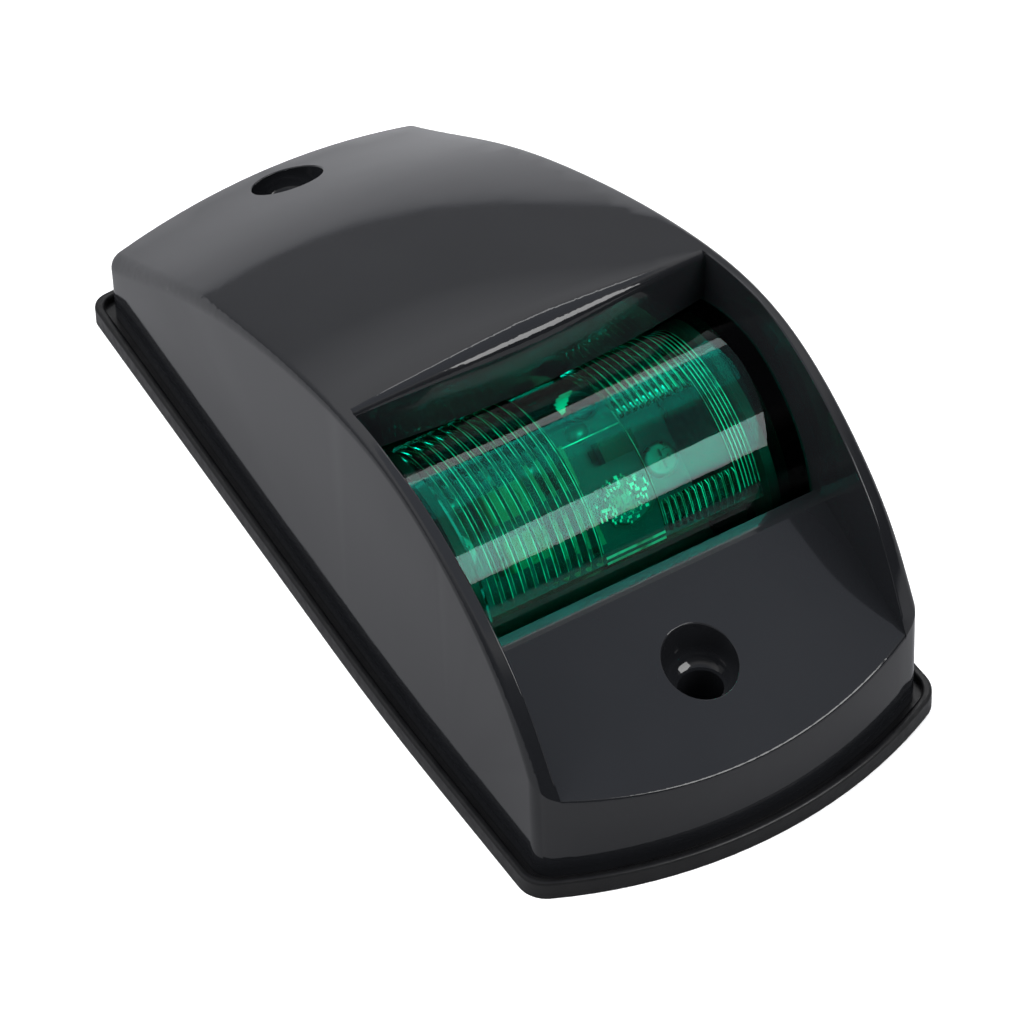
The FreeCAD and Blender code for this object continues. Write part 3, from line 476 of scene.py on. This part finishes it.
def make_floor():
    """Plain floor: pale paper to the eye, mid grey in the light's glossy surfaces."""
    half = FLOOR_SIZE / 2
    mesh = bpy.data.meshes.new("floor")
    mesh.from_pydata([(-half, -half, 0), (half, -half, 0), (half, half, 0),
                      (-half, half, 0)], [], [(0, 1, 2, 3)])
    floor = bpy.data.objects.new("floor", mesh)
    bpy.context.scene.collection.objects.link(floor)
    material, tree, shader = new_material("floor")
    shader.inputs["Base Color"].default_value = (0.34, 0.34, 0.35, 1.0)
    shader.inputs["Roughness"].default_value = 0.9
    paper = tree.nodes.new("ShaderNodeBsdfPrincipled")
    paper.inputs["Base Color"].default_value = (0.93, 0.93, 0.93, 1.0)
    paper.inputs["Roughness"].default_value = 0.9
    paper.inputs["Emission Color"].default_value = (1.0, 1.0, 1.0, 1.0)
    paper.inputs["Emission Strength"].default_value = PAPER_GLOW
    path = tree.nodes.new("ShaderNodeLightPath")
    mix = tree.nodes.new("ShaderNodeMixShader")
    tree.links.new(path.outputs["Is Camera Ray"], mix.inputs[0])
    tree.links.new(shader.outputs["BSDF"], mix.inputs[1])
    tree.links.new(paper.outputs["BSDF"], mix.inputs[2])
    tree.links.new(mix.outputs["Shader"], tree.nodes["Material Output"].inputs["Surface"])
    mesh.materials.append(material)


def smooth_group():
    """Nodes that weld face borders, shade smooth, and mark the edges to be rolled."""
    tree = bpy.data.node_groups.new("smooth_faces", "GeometryNodeTree")
    tree.interface.new_socket("Geometry", in_out="INPUT", socket_type="NodeSocketGeometry")
    tree.interface.new_socket("Geometry", in_out="OUTPUT", socket_type="NodeSocketGeometry")
    start = tree.nodes.new("NodeGroupInput")
    end = tree.nodes.new("NodeGroupOutput")
    weld = tree.nodes.new("GeometryNodeMergeByDistance")
    weld.inputs["Distance"].default_value = WELD_DISTANCE
    drop = tree.nodes.new("GeometryNodeRemoveAttribute")
    drop.inputs["Name"].default_value = "custom_normal"
    angle = tree.nodes.new("GeometryNodeInputMeshEdgeAngle").outputs["Unsigned Angle"]
    shade = tree.nodes.new("GeometryNodeSetShadeSmooth")
    shade.domain = "EDGE"
    mark = tree.nodes.new("GeometryNodeStoreNamedAttribute")
    mark.data_type = "FLOAT"
    mark.domain = "EDGE"
    mark.inputs["Name"].default_value = "bevel_weight_edge"
    tree.links.new(start.outputs["Geometry"], weld.inputs["Geometry"])
    tree.links.new(weld.outputs["Geometry"], drop.inputs["Geometry"])
    tree.links.new(drop.outputs["Geometry"], shade.inputs["Geometry"])
    tree.links.new(shade.outputs["Geometry"], mark.inputs["Geometry"])
    tree.links.new(mark.outputs["Geometry"], end.inputs["Geometry"])
    place = tree.nodes.new("GeometryNodeInputPosition")
    split = tree.nodes.new("ShaderNodeSeparateXYZ")
    tree.links.new(place.outputs["Position"], split.inputs[0])
    crease = math_node(tree, "MULTIPLY", near(tree, split.outputs["Y"], LEDGE_Y),
                       near(tree, split.outputs["Z"], LEDGE_Z))
    gentle = math_node(tree, "LESS_THAN", math_node(tree, "ADD", angle, crease), SMOOTH_ANGLE)
    tree.links.new(gentle, shade.inputs["Shade Smooth"])
    tree.links.new(rolled_edges(tree, angle, split.outputs), mark.inputs["Value"])
    return tree


def math_node(tree, operation, first, second):
    """Math node whose second operand may be a number or a socket."""
    node = tree.nodes.new("ShaderNodeMath")
    node.operation = operation
    tree.links.new(first, node.inputs[0])
    if isinstance(second, float):
        node.inputs[1].default_value = second
    else:
        tree.links.new(second, node.inputs[1])
    return node.outputs[0]


def near(tree, value, target):
    """1 within reach of the crease between the recess floor and its ledge."""
    node = tree.nodes.new("ShaderNodeMath")
    node.operation = "COMPARE"
    tree.links.new(value, node.inputs[0])
    node.inputs[1].default_value = target
    node.inputs[2].default_value = LEDGE_REACH
    return node.outputs[0]


def rolled_edges(tree, angle, place):
    """1 on the sharp rims of the side fins and of the two screw bowls."""
    x, y, z = place
    side = math_node(tree, "MAXIMUM", x, math_node(tree, "MULTIPLY", x, -1.0))
    end = math_node(tree, "MAXIMUM", y, math_node(tree, "MULTIPLY", y, -1.0))
    over_floor = math_node(tree, "SUBTRACT", z, math_node(tree, "MULTIPLY", y, FLOOR_SLOPE))
    rim = math_node(tree, "GREATER_THAN", side, RIM_SIDE)
    rim = math_node(tree, "MULTIPLY", rim, math_node(tree, "LESS_THAN", y, RIM_REAR))
    rim = math_node(tree, "MULTIPLY", rim,
                    math_node(tree, "GREATER_THAN", over_floor, RIM_OVER_FLOOR))
    bowl = math_node(tree, "LESS_THAN", side, BOWL_SIDE)
    bowl = math_node(tree, "MULTIPLY", bowl, math_node(tree, "GREATER_THAN", end, BOWL_END))
    bowl = math_node(tree, "MULTIPLY", bowl, math_node(tree, "GREATER_THAN", z, BOWL_LOW))
    sharp = math_node(tree, "GREATER_THAN", angle, ROLL_ANGLE)
    return math_node(tree, "MULTIPLY", sharp, math_node(tree, "MAXIMUM", rim, bowl))


def smooth_faces(part, tree):
    """One even surface across the borders between the faces of a moulding."""
    part.modifiers.new("smooth_faces", "NODES").node_group = tree


def roll_edges(part):
    """Small rolled edges of a moulding, where its edges are marked."""
    bevel = part.modifiers.new("rolled_edges", "BEVEL")
    bevel.width = ROLL_WIDTH
    bevel.segments = ROLL_SEGMENTS
    bevel.limit_method = "WEIGHT"
    bevel.use_clamp_overlap = False
    bevel.harden_normals = True


def soft_box(name, azimuth, elevation, distance, width, height, power, in_gloss):
    """Soft box that faces the light; azimuth 0 is in front, 90 on the right."""
    a, e = math.radians(azimuth), math.radians(elevation)
    way = Vector((math.sin(a) * math.cos(e), -math.cos(a) * math.cos(e), math.sin(e)))
    data = bpy.data.lights.new(name, "AREA")
    data.shape = "RECTANGLE"
    data.size = width
    data.size_y = height
    data.energy = power
    box = bpy.data.objects.new(name, data)
    box.location = way * distance + Vector(LAMP_TARGET)
    box.rotation_mode = "QUATERNION"
    box.rotation_quaternion = way.to_track_quat("Z", "Y")
    box.visible_glossy = in_gloss
    bpy.context.scene.collection.objects.link(box)


def make_world():
    """Studio walls: bright above the rear, dim at the horizon, dark in front."""
    world = bpy.data.worlds.new("studio")
    world.use_nodes = True
    tree = world.node_tree
    coords = tree.nodes.new("ShaderNodeTexCoord")
    split = tree.nodes.new("ShaderNodeSeparateXYZ")
    tree.links.new(coords.outputs["Generated"], split.inputs["Vector"])
    ramp = tree.nodes.new("ShaderNodeValToRGB")
    ramp.color_ramp.elements[0].position = WALL_TONES[0][0]
    ramp.color_ramp.elements[0].color = (*WALL_TONES[0][1], 1.0)
    ramp.color_ramp.elements[1].position = WALL_TONES[-1][0]
    ramp.color_ramp.elements[1].color = (*WALL_TONES[-1][1], 1.0)
    for height, tone in WALL_TONES[1:-1]:
        ramp.color_ramp.elements.new(height).color = (*tone, 1.0)
    tree.links.new(split.outputs["Z"], ramp.inputs["Fac"])
    in_front = spread(tree, split.outputs["Y"], 1.0, 0.0, FRONT_DARK, FRONT_CLEAR)
    low = spread(tree, split.outputs["Z"], 1.0, 0.0, HIGH_DARK, HIGH_CLEAR)
    shade = spread(tree, math_node(tree, "MULTIPLY", in_front, low), 1.0, DARK_SHARE, 0.0, 1.0)
    background = tree.nodes["Background"]
    tree.links.new(ramp.outputs["Color"], background.inputs["Color"])
    tree.links.new(shade, background.inputs["Strength"])
    bpy.context.scene.world = world


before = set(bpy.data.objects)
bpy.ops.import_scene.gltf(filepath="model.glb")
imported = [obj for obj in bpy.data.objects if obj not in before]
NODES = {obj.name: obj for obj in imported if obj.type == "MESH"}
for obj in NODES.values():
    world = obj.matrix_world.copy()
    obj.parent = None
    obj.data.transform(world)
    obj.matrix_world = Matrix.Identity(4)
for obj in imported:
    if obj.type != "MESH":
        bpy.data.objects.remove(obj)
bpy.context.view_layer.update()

for part in NODES.values():
    part.data.shade_smooth()

SMOOTH = smooth_group()
for name in ("housing", "base_gasket"):
    smooth_faces(NODES[name], SMOOTH)
roll_edges(NODES["housing"])
for nodes, name, finish, dark, light in SURFACES:
    dress(NODES, nodes, opaque(name, FINISHES[finish], dark, light))
dress(NODES, ["lens"], green_lens())
ribbed_optic(clear_optic(), painted_highlight_crest())

make_floor()
make_world()
for lamp in LAMPS:
    soft_box(*lamp)
make_camera()
bpy.context.scene.view_settings.view_transform = "Standard"
